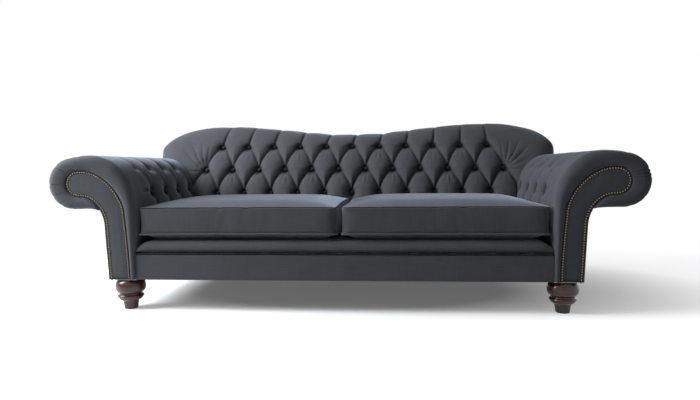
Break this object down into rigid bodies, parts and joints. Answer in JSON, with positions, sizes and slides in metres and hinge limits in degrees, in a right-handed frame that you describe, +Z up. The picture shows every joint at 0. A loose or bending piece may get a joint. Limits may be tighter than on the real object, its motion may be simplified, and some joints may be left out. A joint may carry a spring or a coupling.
{
  "type": "chesterfield sofa",
  "caption": "Camel-backed scroll-arm sofa with a deep-buttoned back and arms, two loose box cushions, brass-nailed arm fronts and turned feet.",
  "frame": {"origin": "on the floor under the middle of the sofa's width and depth", "axes": "+X to the right arm as seen from the front, +Y to the back, +Z up"},
  "size_m": [2.3988, 1.02, 0.816],
  "materials": {
    "timber": "sawn beech frame timber, unfinished, hidden",
    "mahogany": "dark red-brown stained hardwood under gloss lacquer",
    "cover_cloth": "fine plain-woven charcoal grey upholstery cloth with a soft sheen",
    "webbing": "woven jute webbing, hidden",
    "lining": "black non-woven dust cloth",
    "foam": "cut upholstery foam wrapped in fibre, hidden",
    "spring_steel": "oiled spring steel and zinc-plated plates, hidden",
    "antique_brass": "domed upholstery nail heads in antique brass",
    "zip": "moulded zip on dark tape"
  },
  "bodies": {
    "frame": {"front_rail": "timber", "back_rail": "timber", "side_rail_left": "timber", "side_rail_right": "timber", "centre_stretcher": "timber", "corner_blocks": "timber", "arm_board_left": "timber", "arm_board_right": "timber", "rear_arm_board_left": "timber", "rear_arm_board_right": "timber", "arm_top_rail_left": "timber", "arm_top_rail_right": "timber", "arm_tack_rail_left": "timber", "arm_tack_rail_right": "timber", "back_posts": "timber", "back_uprights": "timber", "back_top_rail": "timber", "back_tack_rail": "timber", "back_webbing": "webbing", "seat_springs": "spring_steel", "spring_clips": "spring_steel", "front_foot_left": "mahogany", "front_foot_right": "mahogany", "rear_leg_left": "mahogany", "rear_leg_right": "mahogany", "foot_plates": "spring_steel", "foot_studs": "spring_steel", "dust_cloth": "lining", "seat_platform": "cover_cloth", "front_apron": "cover_cloth", "apron_piping": "cover_cloth", "arm_pad_left": "cover_cloth", "arm_pad_right": "cover_cloth", "back_pad": "cover_cloth", "back_buttons": "cover_cloth", "arm_buttons_left": "cover_cloth", "arm_buttons_right": "cover_cloth", "facing_left": "cover_cloth", "facing_right": "cover_cloth", "nails_left": "antique_brass", "nails_right": "antique_brass", "rear_facing_left": "cover_cloth", "rear_facing_right": "cover_cloth", "outside_arm_left": "cover_cloth", "outside_arm_right": "cover_cloth", "outside_back": "cover_cloth"},
    "cushion_left": {"seat_cushion_left": "cover_cloth", "cushion_core_left": "foam", "cushion_zip_left": "zip"},
    "cushion_right": {"seat_cushion_right": "cover_cloth", "cushion_core_right": "foam", "cushion_zip_right": "zip"}
  },
  "joints": [
    {"name": "cushion_left_lift", "type": "slide", "parent": "frame", "child": "cushion_left", "axis": [0, 0, 1], "range_m": [0, 0.6]},
    {"name": "cushion_right_lift", "type": "slide", "parent": "frame", "child": "cushion_right", "axis": [0, 0, 1], "range_m": [0, 0.6]}
  ]
}
